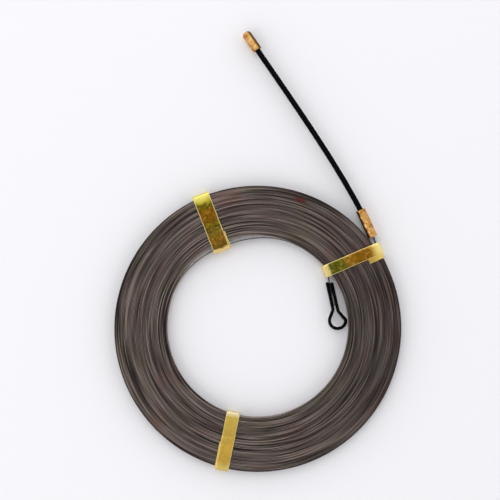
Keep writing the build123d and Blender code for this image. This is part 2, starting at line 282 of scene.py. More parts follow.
def wander(rng, places, spacing):
    """Smooth random curve from -1 to 1: random values a spacing apart, joined by cosine steps."""
    place = places / spacing
    first = int(np.floor(place.min()))
    values = rng.uniform(-1, 1, int(np.ceil(place.max())) - first + 2)
    low = np.floor(place).astype(int) - first
    share = (1 - np.cos(pi * (place - np.floor(place)))) / 2
    return values[low] * (1 - share) + values[low + 1] * share


# ---------------- materials

RUST_ANGLE = 71.6  # degrees
RUST_RADIUS = 117.5 * MM
RUST_LENGTH = 9.0 * MM  # from the spot's middle to its end, along the windings
RUST_WIDTH = 3.2 * MM


def set_inputs(node, inputs):
    """Sets a node's inputs, and links those whose value is another node's output."""
    for key, value in inputs.items():
        socket = node.inputs[key]
        if isinstance(value, bpy.types.NodeSocket):
            node.id_data.links.new(value, socket)
        else:
            socket.default_value = (*value, 1) if socket.type == "RGBA" else value


def add(tree, kind, inputs=None, stops=None, output=0, **settings):
    """Adds a shader node with its settings, inputs and colour stops, and gives one of its outputs."""
    made = tree.nodes.new("ShaderNode" + kind)
    for key, value in settings.items():
        setattr(made, key, value)
    set_inputs(made, inputs or {})
    if stops:
        elements = made.color_ramp.elements
        while len(elements) < len(stops):
            elements.new(0.5)
        for element, (place, tint) in zip(elements, stops):
            element.position = place
            element.color = (*tint, 1)
    return made.outputs[output]


def new_material(name):
    """New node material, with its tree and its Principled surface."""
    material = bpy.data.materials.new(name)
    material.use_nodes = True
    tree = material.node_tree
    return material, tree, tree.nodes["Principled BSDF"]


def blued_spring_steel(settings):
    """Blued and oiled spring steel, cold-rolled: a satin brown-black strip with bright rubbed edges.

    Each winding has its own tone, because it lies on another stretch of the strip, and groups of
    windings share a shade where the oil has dried.
    """
    material, tree, shader = new_material("blued_spring_steel")
    travel = add(tree, "Attribute", attribute_name="travel", output="Fac")
    place = add(tree, "TexCoord", output="Object")
    flat = add(tree, "VectorMath", {0: place, 1: (1, 1, 0)}, operation="MULTIPLY")
    radius = add(tree, "VectorMath", {0: flat}, operation="LENGTH", output="Value")
    x, y = add(tree, "SeparateXYZ", {0: flat}).node.outputs[:2]

    # each winding has its own tone, which changes about every 90 mm
    lengthwise = {"W": travel, "Scale": 1 / (90 * MM), "Detail": 2.0, "Roughness": 0.5}
    tone = add(tree, "TexNoise", lengthwise, noise_dimensions="1D")
    # bands 3 to 8 mm wide across the coil, which fade in and out along it over 150 mm
    across = add(tree, "Math", {0: radius, 1: 1 / (3.5 * MM)}, operation="MULTIPLY")
    slow = [add(tree, "Math", {0: spot, 1: 1 / (150 * MM)}, operation="MULTIPLY") for spot in (x, y)]
    lie = add(tree, "CombineXYZ", {0: across, 1: slow[0], 2: slow[1]})
    band = add(tree, "TexNoise", {"Vector": lie, "Scale": 1.0, "Detail": 1.0})
    both = add(tree, "Math", {0: band, 1: 0.12, 2: tone}, operation="MULTIPLY_ADD")
    level = add(tree, "MapRange", {"Value": both, "From Min": 0.31, "From Max": 0.8})
    tones = [(0.1, settings.dark), (0.5, settings.steel), (0.9, settings.bright)]
    shade = add(tree, "ValToRGB", {"Fac": level}, tones)

    # painted shade: the outermost winding is painted darker, for the shade along the coil's outer edge
    painted_rim_shade = {"Value": travel, "From Min": 0.75, "From Max": 0.85, "To Min": 0.75, "To Max": 0.0}
    rim = add(tree, "MapRange", painted_rim_shade)
    # painted shade: the steel is painted darker towards +X
    painted_side_shade = add(tree, "MapRange", {"Value": x, "From Max": 110 * MM, "To Max": 0.45})
    # both painted shades mix the steel towards the dark colour
    for share in (rim, painted_side_shade):
        shade = add(tree, "Mix", {0: share, 6: shade, 7: settings.dark}, data_type="RGBA", output=2)
    # oil stains: warm and greenish patches 25 mm across
    patch = add(tree, "TexNoise", {"Vector": place, "Scale": 1 / (25 * MM), "Detail": 3.0})
    stains = [(0.35, linear("#FFE6E0")), (0.5, (1, 1, 1)), (0.65, linear("#EEF0DC"))]
    stained = {0: 0.75, 6: shade, 7: add(tree, "ValToRGB", {"Fac": patch}, stains)}
    shade = add(tree, "Mix", stained, data_type="RGBA", blend_type="MULTIPLY", output=2)

    # one rust spot, drawn out along the windings
    middle = (*(unit(RUST_ANGLE) * RUST_RADIUS), 0)
    offset = add(tree, "VectorMath", {0: flat, 1: middle}, operation="SUBTRACT")
    lengthwise = {"Vector": offset, "Angle": radians(90 - RUST_ANGLE)}
    turned = add(tree, "VectorRotate", lengthwise, rotation_type="Z_AXIS")
    sizes = (1 / RUST_LENGTH, 1 / RUST_WIDTH, 0)
    spread = add(tree, "VectorMath", {0: turned, 1: sizes}, operation="MULTIPLY")
    far = add(tree, "VectorMath", {0: spread}, operation="LENGTH", output="Value")
    fading = {"Value": far, "From Min": 1.0, "From Max": 0.2, "To Max": 0.8}
    rust = add(tree, "MapRange", fading, interpolation_type="SMOOTHSTEP")
    # painted highlight: the tail is painted paler grey, and the eye's lacquer covers part of it
    keys = ("painted_tail_highlight", "dipped")
    painted_tail_highlight, dipped = (add(tree, "Attribute", attribute_name=key, output="Fac") for key in keys)
    layers = ((rust, settings.rust), (painted_tail_highlight, linear("#6A6A66")), (dipped, linear("#080808")))
    for share, tint in layers:
        shade = add(tree, "Mix", {0: share, 6: shade, 7: tint}, data_type="RGBA", output=2)

    sheen = {"Value": tone, "From Min": 0.3, "From Max": 0.7, "To Min": 0.5, "To Max": 0.36}
    rough = add(tree, "MapRange", sheen)
    # rolling marks run along the strip, about 0.12 mm apart across it
    height = add(tree, "SeparateXYZ", {0: place}, output=2)
    lines = add(tree, "CombineXYZ", {0: across, 1: height, 2: travel})
    grain = add(tree, "TexNoise", {"Vector": lines, "Scale": 30.0, "Detail": 2.0})
    bump = add(tree, "Bump", {"Height": grain, "Strength": 0.25, "Distance": 0.05 * MM})
    set_inputs(shader, {"Base Color": shade, "Roughness": rough, "Metallic": 0.75, "Normal": bump})
    return material


def brass_strip(name, settings, strap):
    """Cold-rolled brass strip, hand-bent and left bare: olive and amber, with painted highlights at its
    bends.
    """
    material, tree, shader = new_material(f"brass_{name}")
    keys = ("reach", "side", "covered")
    reach, side, covered = (add(tree, "Attribute", attribute_name=key, output="Fac") for key in keys)
    place = add(tree, "TexCoord", output="Object")
    cloud = add(tree, "TexNoise", {"Vector": place, "Scale": 1 / (6 * MM), "Detail": 4.0, "Roughness": 0.6})
    uneven = {"Value": cloud, "From Min": 0.3, "From Max": 0.7, "To Min": -0.02, "To Max": 0.02}
    moved = add(tree, "Math", {0: reach, 1: add(tree, "MapRange", uneven)}, operation="ADD")
    # the pale stops at both ends are painted highlights on the bends
    zones = [(spot, linear(code)) for spot, code in strap.zones]
    shade = add(tree, "ValToRGB", {"Fac": moved}, zones)

    # green and rubbed flecks, which stay off both bent ends
    from_middle = add(tree, "Math", {0: moved, 1: 0.46}, operation="SUBTRACT")
    far = add(tree, "Math", {0: from_middle}, operation="ABSOLUTE")
    most = add(tree, "MapRange", {"Value": far, "From Min": 0.41, "From Max": 0.36, "To Max": strap.mottle})
    fleck = add(tree, "TexNoise", {"Vector": place, "Scale": 1 / (2.2 * MM), "Detail": 3.0, "Roughness": 0.7})
    for none, full, tint in ((0.46, 0.62, settings.stain), (0.42, 0.3, linear("#BC9850"))):
        share = add(tree, "MapRange", {"Value": fleck, "From Min": none, "From Max": full, "To Max": most})
        shade = add(tree, "Mix", {0: share, 6: shade, 7: tint}, data_type="RGBA", output=2)

    # the covered end is cleaner, and the edges are worn bright, with a painted highlight on them as well
    edge = {"Value": side, "From Min": 0.88, "From Max": 0.97, "To Max": 0.85}
    worn_and_highlit_edge = add(tree, "MapRange", edge, interpolation_type="SMOOTHSTEP")
    for share, tint in ((covered, linear("#CFAE50")), (worn_and_highlit_edge, settings.bright)):
        shade = add(tree, "Mix", {0: share, 6: shade, 7: tint}, data_type="RGBA", output=2)
    sheen = {"Value": cloud, "From Min": 0.3, "From Max": 0.7, "To Min": 0.24, "To Max": 0.42}
    rough = add(tree, "MapRange", sheen)
    # shallow dimples 3 mm across from hand bending
    dimple = add(tree, "TexNoise", {"Vector": place, "Scale": 1 / (3 * MM), "Detail": 2.0})
    bump = add(tree, "Bump", {"Height": dimple, "Strength": 0.5, "Distance": 0.15 * MM})
    set_inputs(shader, {"Base Color": shade, "Roughness": rough, "Metallic": 1.0, "Normal": bump})
    return material


def plated_brass(name, settings, shade_start, dark):
    """Turned brass with a worn copper plating: warm gold with orange blotches, and painted shade down one
    side.

    The painted shade grows from nothing at the first share to full at the second, both shares of the way
    from the left flank to the right one.
    """
    material, tree, shader = new_material(f"plated_brass_{name}")
    place = add(tree, "TexCoord", output="Object")
    flank = add(tree, "Attribute", attribute_name="flank", output="Fac")
    cloud = add(tree, "TexNoise", {"Vector": place, "Scale": 1 / (4 * MM), "Detail": 4.0, "Roughness": 0.65})
    blotches = [(0.36, linear("#9C642C")), (0.5, settings.copper), (0.64, linear("#DDB478"))]
    shade = add(tree, "ValToRGB", {"Fac": cloud}, blotches)
    uneven = {"Value": cloud, "From Min": 0.3, "From Max": 0.7, "To Min": -0.07, "To Max": 0.07}
    moved = add(tree, "Math", {0: flank, 1: add(tree, "MapRange", uneven)}, operation="ADD")
    # painted shade: one flank is painted dark
    growing = {"Value": moved, "From Min": shade_start, "From Max": dark, "To Max": 0.9}
    oxide = add(tree, "MapRange", growing, interpolation_type="SMOOTHSTEP")
    shade = add(tree, "Mix", {0: oxide, 6: shade, 7: settings.oxide}, data_type="RGBA", output=2)
    bump = add(tree, "Bump", {"Height": cloud, "Strength": 0.2, "Distance": 0.15 * MM})
    set_inputs(shader, {"Base Color": shade, "Roughness": 0.4, "Metallic": 0.9, "Normal": bump})
    return material


def black_nylon(settings):
    """Extruded nylon sheath over a steel rope: matt black, with the rope's lay pressed faintly through."""
    material, tree, shader = new_material("black_nylon")
    keys = ("travel", "around")
    travel, around = (add(tree, "Attribute", attribute_name=key, output="Fac") for key in keys)
    # six strands that turn once in 20 mm show as slanted ridges
    twist = add(tree, "Math", {0: travel, 1: 2 * pi / (20 * MM)}, operation="MULTIPLY")
    angle = add(tree, "Math", {0: around, 1: twist}, operation="ADD")
    ridge = add(tree, "Math", {0: angle, 1: 6.0}, operation="MULTIPLY")
    wave = add(tree, "Math", {0: ridge}, operation="SINE")
    share = add(tree, "MapRange", {"Value": wave, "From Min": -1.0})
    paler = tuple(value * 2.2 for value in settings.sheath)
    shade = add(tree, "Mix", {0: share, 6: settings.sheath, 7: paler}, data_type="RGBA", output=2)
    bump = add(tree, "Bump", {"Height": wave, "Strength": 0.3, "Distance": 0.08 * MM})
    set_inputs(shader, {"Base Color": shade, "Roughness": 0.55, "Normal": bump, "Specular IOR Level": 0.03})
    return material


def black_lacquer(settings):
    """Wire dipped in black lacquer: deep black with a soft shine, and painted highlights as small grey
    specks.
    """
    material, tree, shader = new_material("black_lacquer")
    place = add(tree, "TexCoord", output="Object")
    painted_speck_glint = add(tree, "TexNoise", {"Vector": place, "Scale": 1 / (0.8 * MM), "Detail": 3.0})
    # painted highlights: small grey specks on the black
    shade = add(tree, "ValToRGB", {"Fac": painted_speck_glint}, [(0.62, settings.lacquer), (0.76, linear("#5A5C5A"))])
    rough = add(tree, "MapRange", {"Value": painted_speck_glint, "To Min": 0.3, "To Max": 0.6})
    set_inputs(shader, {"Base Color": shade, "Roughness": rough, "Specular IOR Level": 0.03})
    return material


# ---------------- wound tape

LEAVE_ANGLE = 24.8  # where the tape leaves the coil for the ferrule, in degrees
OUTER_RUN = 29.8 * MM  # from there to the ferrule
TAPE_GRIP = 11.0 * MM  # length of tape inside the ferrule
RUN_POINTS = 12
SLACK_GAP = 2.8 * MM  # how far the last winding hangs in from the others
SLACK_FROM, SLACK_TO = 152.0, 66.0  # the degrees between which it does
HOOK_START = 47.0  # where the last winding ends and the bend to the tail starts, in degrees
HOOK_RADIUS = 24.0 * MM
HOOK_POINTS = 20
STEPS_PER_TURN = 144
WINDING_GAP = 0.12 * MM  # between the windings that lie next to the rim and the hole
LEAST_SHARE = 0.4  # least share of the room that a gap takes, before its random part
RIM_ROOM = 0.05 * MM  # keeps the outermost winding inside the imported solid
WALL_SEED, RISE_SEED = 7, 3
RISE_WAVES = ((0.6, 210 * MM), (0.4, 70 * MM))  # share and half length of the waves that windings rise in
RISE_START, RISE_END = 100 * MM, 600 * MM  # the waves fade in and out over these distances

TAIL_SEAM = 2.0 * MM  # the tail is a piece of its own from this far before its flexing point
TAIL_REACH = 24.07 * MM  # from the flexing point to the tape's end
TAIL_RINGS = 60
LACQUER_FROM, LACQUER_TO = 2.4 * MM, 16.0 * MM  # stretch of the tail under the eye's lacquer
LACQUER_START, LACQUER_END = 0.6 * MM, 4.0 * MM  # the lacquer's edges fade over these distances
TAIL_HIGHLIGHT_FADE = 5.0 * MM  # the tail's painted highlight grows over this distance
# most share of the tail's colour that its painted highlight takes
TAIL_HIGHLIGHT_SHARE = 0.8


def uneven_walls(tape):
    """Outer wall of the tape each time that it crosses the Y axis, from the outside in.

    The -Y and +Y sides share their room out over the windings: thickness plus a random gap, where the
    gaps have a long tail, so that a few windings stand apart and most lie tight.
    """

    def walls_from(start, room, shares):
        """Walls that fill a room inwards from a start, each gap by its share."""
        steps = tape.thickness + (room - len(shares) * tape.thickness) * shares / shares.sum()
        return start - np.concatenate([[0], np.cumsum(steps)])

    rng = np.random.default_rng(WALL_SEED)
    turns = tape.windings
    rim = tape.coil_radius - RIM_ROOM
    low_room = rim - (tape.hole_radius - tape.hole_shift) - tape.thickness
    top_first = rim - tape.thickness - WINDING_GAP
    top_last = tape.hole_radius + 2 * tape.hole_shift + tape.thickness + WINDING_GAP
    low_shares = LEAST_SHARE + rng.exponential(1, turns)
    top_shares = LEAST_SHARE + 0.5 * low_shares[1:] + 0.5 * rng.exponential(1, turns - 1)
    walls = np.empty(2 * turns + 3)
    walls[0 : 2 * turns + 1 : 2] = walls_from(rim, low_room, low_shares)
    walls[1 : 2 * turns : 2] = walls_from(top_first, top_first - top_last, top_shares)
    walls[2 * turns + 1] = top_last - tape.thickness - WINDING_GAP
    walls[2 * turns + 2] = tape.hole_radius - tape.hole_shift - WINDING_GAP
    return walls


def winding_radius(tape, angle):
    """Radius of the tape's middle at a falling angle: cosine steps from wall to wall, less the slack.

    The slack is a raised cosine over the last stretch of the last winding.
    """
    walls = uneven_walls(tape)
    crossing = np.clip((-90 - angle) / 180, 0, len(walls) - 1.001)
    index = np.floor(crossing).astype(int)
    share = (1 - np.cos(pi * (crossing - index))) / 2
    wall = walls[index] * (1 - share) + walls[index + 1] * share
    last = angle + 360 * (tape.windings + 1)
    ease = np.clip((SLACK_FROM - last) / (SLACK_FROM - SLACK_TO), 0, 1)
    return wall - tape.thickness / 2 - SLACK_GAP * (1 - np.cos(2 * pi * ease)) / 2


def leaving_point():
    """Where the middle of the tape leaves the coil for the ferrule, and its direction from there."""
    tape = bpy.context.scene.fish_tape.tape
    return unit(LEAVE_ANGLE) * (tape.coil_radius - tape.thickness / 2), unit(LEAVE_ANGLE + 90)


def tail_line():
    """The tape's flexing point and the direction of its tail, from the joint and the tail's box."""
    flex = np.array(JOINTS["eye_flex"]["pos_m"][:2])
    low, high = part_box("tape_tail")
    return flex, to_unit((np.array(low[:2]) + np.array(high[:2])) / 2 - flex)


def tape_route(tape):
    """Middle line of the tape, seen from above: the straight run, the coil and the bend towards the tail."""
    leave, ahead = leaving_point()
    run = leave + np.linspace(1, 0, RUN_POINTS)[:, None] * (OUTER_RUN + TAPE_GRIP) * ahead
    last = HOOK_START - 360 * (tape.windings + 1)
    count = int((LEAVE_ANGLE - last) / 360 * STEPS_PER_TURN)
    angles = np.linspace(LEAVE_ANGLE, last, count)[1:]
    coil = unit(angles) * winding_radius(tape, angles)[:, None]
    step = coil[-1] - coil[-2]
    heading = degrees(atan2(step[1], step[0]))
    tail = tail_line()[1]
    turned = np.linspace(0, heading - degrees(atan2(tail[1], tail[0])), HOOK_POINTS)[1:]
    centre = coil[-1] + unit(heading - 90) * HOOK_RADIUS
    hook = centre + unit(heading + 90 - turned) * HOOK_RADIUS
    return run, coil, hook


def tape_section(tape):
    """Section of the rolled tape, across and up: a strip with its four edges broken."""
    half, cut = tape.thickness / 2, tape.edge_round
    corner = [(-half, HALF_TAPE - cut), (-half + cut, HALF_TAPE - cut * 0.15), (-half + 1.4 * cut, HALF_TAPE)]
    corner += [(-x, z) for x, z in corner[::-1]]
    return np.array(corner + [(-x, -z) for x, z in corner])


def wound_tape(tape, material):
    """The tape from the ferrule round the coil to just before its flexing point."""
    run, coil, hook = tape_route(tape)
    flex, tail = tail_line()
    end = flex - tail * TAIL_SEAM
    path = np.concatenate([run, coil, hook, end[None]])
    travel = along(path)
    rng = np.random.default_rng(RISE_SEED)
    fade_in = np.clip((travel - travel[len(run)]) / RISE_START, 0, 1)
    fade_out = np.clip((travel[-1] - travel) / RISE_END, 0, 1)
    rise = sum(share * wander(rng, travel, spacing) for share, spacing in RISE_WAVES)
    height = MID_HEIGHT + fade_in * fade_out * rise * tape.unevenness
    rings = carried(path, tape_section(tape), height)
    piece = closed_mesh("wound_tape", rings, material, {"travel": travel[:, None]})
    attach(piece, "coil")
    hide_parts("steel_tape")


def flexing_tail(tape, material):
    """The tape's inner end, from just before its flexing point to the tape's end."""
    flex, tail = tail_line()
    distance = np.linspace(-TAIL_SEAM, TAIL_REACH, TAIL_RINGS)[:, None]
    starts = np.clip((distance - LACQUER_FROM) / LACQUER_START, 0, 1)
    ends = np.clip((LACQUER_TO - distance) / LACQUER_END, 0, 1)
    # painted highlight: the tail is painted paler grey from its flexing point on
    painted_tail_highlight = np.clip(distance / TAIL_HIGHLIGHT_FADE, 0, TAIL_HIGHLIGHT_SHARE)
    attributes = {"travel": distance, "dipped": starts * ends, "painted_tail_highlight": painted_tail_highlight}
    rings = carried(flex + distance * tail, tape_section(tape), MID_HEIGHT)
    piece = closed_mesh("flexing_tail", rings, material, attributes)
    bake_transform(piece)
    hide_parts("tape_tail")


# ---------------- straps

LAP_GAP = 0.08 * MM  # between the two lapped ends
RAMP_LENGTH = 3.0 * MM  # the covering end steps up over this length
RAMP_BEND = 2.0 * MM
LAP_RETURN = 3.4 * MM  # how far the covering end is turned down
LAP_GRIP = 8.0 * MM  # the underside stays straight for this length at both ends
STRIP_ROUND = 0.16 * MM
STRIP_STEP = 1.2 * MM
EDGE_WAVER, WAVER_STEP = 0.12 * MM, 3.5 * MM  # how far the sheared edges waver, and over what length
COVER_FADE = 0.5 * MM
COVERED_SHARE = 0.6
STRIP_SHARP = radians(50)  # corners that turn more than this are shaded sharp

# body that it rides; heading from the axis in degrees and offset to the left; width; inner face at the
# hole and at the rim; length of the covered end, whether it lies at the rim and how far it is shifted
# sideways; bend radii at the hole and at the rim; how much flecks cover; colours from the hole to the rim,
# whose pale ends are painted highlights on the bends
Strap = namedtuple("Strap", "body heading offset width hole rim lap lap_at_rim skew bends mottle zones")
STRAPS = {
    "strap_top": Strap(
        body="top_strap",
        heading=111.3,
        offset=4.2 * MM,
        width=14.6 * MM,
        hole=74.2 * MM,
        rim=126.1 * MM,
        lap=15.0 * MM,
        lap_at_rim=False,
        skew=1.1 * MM,
        bends=(1.9 * MM, 1.9 * MM),
        mottle=0.75,
        zones=[
            (0.03, "#E0C480"), (0.055, "#5E4A14"), (0.2, "#8A5E1C"), (0.33, "#7A6420"),
            (0.36, "#4C3C12"), (0.4, "#4C3C12"), (0.44, "#7C6A1A"), (0.55, "#7A4E10"),
            (0.7, "#80540F"), (0.82, "#6A6010"), (0.87, "#B4A636"), (0.95, "#DACE6C"),
        ],
    ),
    "strap_side": Strap(
        body="coil",
        heading=23.4,
        offset=21.8 * MM,
        width=10.5 * MM,
        hole=72.6 * MM,
        rim=125.7 * MM,
        lap=14.0 * MM,
        lap_at_rim=True,
        skew=4.0 * MM,
        bends=(1.6 * MM, 1.9 * MM),
        mottle=0.65,
        zones=[
            (0.08, "#D8C27C"), (0.12, "#5A5A18"), (0.34, "#5E5C16"), (0.42, "#9A6E24"),
            (0.62, "#86560F"), (0.82, "#9C6A1E"), (0.89, "#D2B85A"), (0.97, "#EEDC90"),
        ],
    ),
    "strap_bottom": Strap(
        body="bottom_strap",
        heading=-101.5,
        offset=-5.9 * MM,
        width=11.4 * MM,
        hole=75.9 * MM,
        rim=126.6 * MM,
        lap=24.0 * MM,
        lap_at_rim=True,
        skew=0.9 * MM,
        bends=(1.0 * MM, 1.9 * MM),
        mottle=0.12,
        zones=[
            (0.03, "#E0CFA0"), (0.09, "#C8AA4E"), (0.4, "#BC9C48"), (0.6, "#C8A244"),
            (0.85, "#BC983E"), (0.96, "#CDB866"),
        ],
    ),
}


def strap_route(strap, settings):
    """Side view of a strap's middle line, out from the coil's axis and up, and its sideways shift."""
    half = settings.thickness / 2
    level = HALF_TAPE + settings.play + half
    cover = settings.thickness + LAP_GAP
    sign = -1 if strap.lap_at_rim else 1
    ends = [strap.hole - half, strap.rim + half]
    bends = [bend + half for bend in strap.bends]
    near, far = ends[::sign]
    near_bend, far_bend = bends[::sign]
    lap_end = near + sign * strap.lap
    outside = near - sign * cover
    ramp_end = lap_end + sign * RAMP_LENGTH
    corners = [
        (lap_end, level),
        (near, level),
        (near, -level),
        (far, -level),
        (far, level),
        (ramp_end + sign * RAMP_LENGTH, level),
        (ramp_end, level + cover),
        (outside, level + cover),
        (outside, level + cover - near_bend - LAP_RETURN),
    ]
    radii = [near_bend, near_bend, far_bend, far_bend, RAMP_BEND, RAMP_BEND, near_bend + cover]
    path = rounded(corners, radii, STRIP_STEP)
    under_start = strap.lap + 2 * level + LAP_GRIP
    under_end = under_start + abs(far - near) - 2 * LAP_GRIP
    crossed = np.clip((along(path) - under_start) / (under_end - under_start), 0, 1)
    return path, -strap.skew * (1 - crossed)


def strip_section(width, thickness):
    """Section of a strip, across it and through it, with its edges rounded."""
    half, thick, cut = width / 2, thickness / 2, STRIP_ROUND
    quarter = [(half, thick - cut), (half - cut * 0.3, thick - cut * 0.3), (half - cut, thick)]
    flat = [(share * half, thick) for share in (0.6, 0.2, -0.2, -0.6)]
    top = quarter + flat + [(-x, z) for x, z in quarter[::-1]]
    return np.array(top + [(-x, -z) for x, z in top])


def folded_strap(name, settings):
    """Strip carried along its side view: route + normal x thickness + across x width."""
    strap = STRAPS[name]
    path, shift = strap_route(strap, settings)
    normal = lefts(to_unit(np.gradient(path, axis=0)))
    section = strip_section(strap.width, settings.thickness)
    travel = along(path)
    rng = np.random.default_rng(len(name))
    half = strap.width / 2
    widths = 1 + EDGE_WAVER * wander(rng, travel, WAVER_STEP)[:, None] / half
    across = strap.offset + shift[:, None] + section[None, :, 0] * widths
    outward = path[:, 0:1] + normal[:, 0:1] * section[None, :, 1]
    height = MID_HEIGHT + path[:, 1:2] + normal[:, 1:2] * section[None, :, 1]
    flat = outward[..., None] * unit(strap.heading) + across[..., None] * unit(strap.heading + 90)
    rings = np.concatenate([flat, height[..., None]], axis=-1)
    attributes = {
        "reach": (outward - strap.hole) / (strap.rim - strap.hole),
        "side": np.abs(section[:, 0]) / half,
        "covered": np.clip((strap.lap - travel) / COVER_FADE, 0, COVERED_SHARE)[:, None],
    }
    piece = closed_mesh(name + "_strip", rings, brass_strip(name, settings, strap), attributes)
    piece.data.set_sharp_from_angle(angle=STRIP_SHARP)
    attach(piece, strap.body)
    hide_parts(name)


# ---------------- leader

LINKS = 6
TURN_RATIO = 0.57  # each flexing point turns this share of the one before it
SHEATH_SIDES, SHEATH_RINGS = 24, 22
LINE_STEP, SLOPE_STEP = 1.0 * MM, 0.2 * MM
FERRULE_LENGTH = 26.0 * MM
FERRULE_GRIP = 12.0 * MM  # length of the leader inside the ferrule
FERRULE_RIM = 0.7 * MM
DENT_PITCH = 7.0 * MM
DENT_DEPTH = 0.32 * MM
DENT_SPREAD = 1.4 * MM
NOSE_LENGTH = 18.76 * MM
NOSE_GRIP = 10.0 * MM
NOSE_RIM = 0.5 * MM
NOSE_ROUND = 3.3 * MM
TURNED_SIDES = 48
TURNED_SHARP = radians(40)
OUTER_SHARE = 0.8  # a radius above this share of a piece's own is on its outside
BORE_ROOM = 0.1 * MM  # between the sheath and a bore
BORE_DEPTH = 1.0 * MM  # the bores are blind, since only their mouths show
BORE_EDGE = 0.15 * MM
POLE_RADIUS = 0.02 * MM  # radius of a turned piece's end rings, each closed by one small face
PROFILE_STEP = 0.5 * MM


def flexing_points():
    """The leader's flexing points in order, then the nose's foot, from the joints.

    The foot is one link on from the last point, turned on as the points before it are.
    """
    names = [f"leader_{'lift' if index % 2 else 'bend'}_{index // 2 + 1}" for index in range(LINKS)]
    points = np.array([JOINTS[name]["pos_m"] for name in names])
    before, last = points[-2] - points[-3], points[-1] - points[-2]
    turn = (atan2(last[1], last[0]) - atan2(before[1], before[0])) * TURN_RATIO
    heading = degrees(atan2(last[1], last[0]) + turn)
    foot = points[-1] + np.array([*unit(heading), 0]) * np.linalg.norm(last)
    return np.vstack([points, foot])


def ferrule_mouth():
    """The ferrule's upper end and its heading."""
    leave, ahead = leaving_point()
    return np.array([*(leave + ahead * (OUTER_RUN + FERRULE_LENGTH)), MID_HEIGHT]), np.array([*ahead, 0])


def leader_line():
    """Smooth line through the leader, with its distance from the ferrule's mouth.

    Between the middles of two links it is the arc that touches both links there, so that the line turns
    evenly round each flexing point.
    """
    mouth, ahead = ferrule_mouth()
    points = flexing_points()
    corners = np.vstack([mouth - ahead * FERRULE_GRIP, points])
    runs = np.linalg.norm(np.diff(corners, axis=0), axis=1)
    headings = to_unit(np.diff(corners, axis=0))
    turns = np.arccos(np.clip(np.sum(headings[:-1] * headings[1:], axis=1), -1, 1))
    touch = np.minimum(runs[:-1], runs[1:]) / 2
    nose = points[-1] + headings[-1] * NOSE_GRIP
    line = rounded(np.vstack([corners[:-1], nose])[:, :2], touch / np.tan(turns / 2), LINE_STEP)
    return line, along(line) - FERRULE_GRIP


def leader_pieces(settings):
    """The sheath, one piece round each flexing point and a last one into the nose.

    The seams lie half way along the links.
    """
    line, travel = leader_line()
    corners = np.vstack([ferrule_mouth()[0], flexing_points()])
    points = corners[1:]
    mouth_run = np.linalg.norm(points[0] - corners[0])
    link = np.linalg.norm(points[1] - points[0])
    seams = [-FERRULE_GRIP] + [mouth_run + link * (index + 0.5) for index in range(LINKS)] + [travel[-1]]
    turns = ring_angles(SHEATH_SIDES)
    material = black_nylon(settings)
    for index in range(LINKS + 1):
        spots = np.linspace(seams[index], seams[index + 1], SHEATH_RINGS)
        slope = points_at(line, travel, spots + SLOPE_STEP) - points_at(line, travel, spots - SLOPE_STEP)
        rings = round_rings(points_at(line, travel, spots), to_unit(slope), settings.radius, turns)
        attributes = {"travel": spots[:, None], "around": turns}
        piece = closed_mesh(f"leader_sheath_piece_{index + 1}", rings, material, attributes)
        node = "root" if index == 0 else str(index)
        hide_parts(f"leader_sheath_{node}", f"leader_core_{node}")
        if index == LINKS:
            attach(piece, f"link_{LINKS}")
            continue
        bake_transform(piece)


def turned_piece(name, profile, foot, ahead, material, pressed=0.0):
    """Profile of (along, radius) turned about a level line: foot + along x heading + radius round it.

    pressed is how far each point is pressed in.
    """
    turns = ring_angles(TURNED_SIDES)
    centres = foot[:2] + profile[:, 0:1] * ahead[:2]
    headings = np.broadcast_to(ahead[:2], centres.shape)
    rings = round_rings(centres, headings, profile[:, 1:2] - pressed, turns)
    # flank is 0 on the left of the heading, half on top and 1 on its right
    piece = closed_mesh(name, rings, material, {"flank": (1 - np.sin(turns)) / 2})
    piece.data.set_sharp_from_angle(angle=TURNED_SHARP)
    return piece


def bored_end(settings, radius):
    """Corners of a turned end from the middle of its blind bore to the outside, as (along, radius)."""
    bore = settings.radius + BORE_ROOM
    return [(BORE_DEPTH, POLE_RADIUS), (BORE_DEPTH, bore), (0, bore), (0, radius)]


def crimp_dents(profile, radius):
    """How far the crimping jaws pressed the ferrule in: two pairs of bell-shaped dents, over and under.

    The depth is D |cos a|^3 times the sum over both pairs of exp(-(s / spread)^2), where a is the angle
    from the top and s the distance from the pair along the ferrule. The bores aren't pressed.
    """
    pairs = FERRULE_LENGTH / 2 + np.array([-0.5, 0.5]) * DENT_PITCH
    bells = np.exp(-(((profile[:, 0:1] - pairs) / DENT_SPREAD) ** 2)).sum(axis=1, keepdims=True)
    outside = profile[:, 1:2] > OUTER_SHARE * radius
    return DENT_DEPTH * bells * outside * np.abs(np.cos(ring_angles(TURNED_SIDES))) ** 3


def crimped_ferrule(settings):
    """Sleeve with rounded rims, a bore at each end and the crimping dents."""
    radius = settings.metal_radius
    lower = bored_end(settings, radius)
    upper = [(FERRULE_LENGTH - place, reach) for place, reach in lower[::-1]]
    radii = [BORE_EDGE, BORE_EDGE, FERRULE_RIM, FERRULE_RIM, BORE_EDGE, BORE_EDGE]
    profile = rounded(lower + upper, radii, PROFILE_STEP)
    mouth, ahead = ferrule_mouth()
    foot = mouth - ahead * FERRULE_LENGTH
    # the painted shade lies on the ferrule's left flank
    material = plated_brass("ferrule", settings, shade_start=0.27, dark=0.12)
    piece = turned_piece("crimped_ferrule", profile, foot, ahead, material, crimp_dents(profile, radius))
    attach(piece, "coil")
    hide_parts("ferrule")


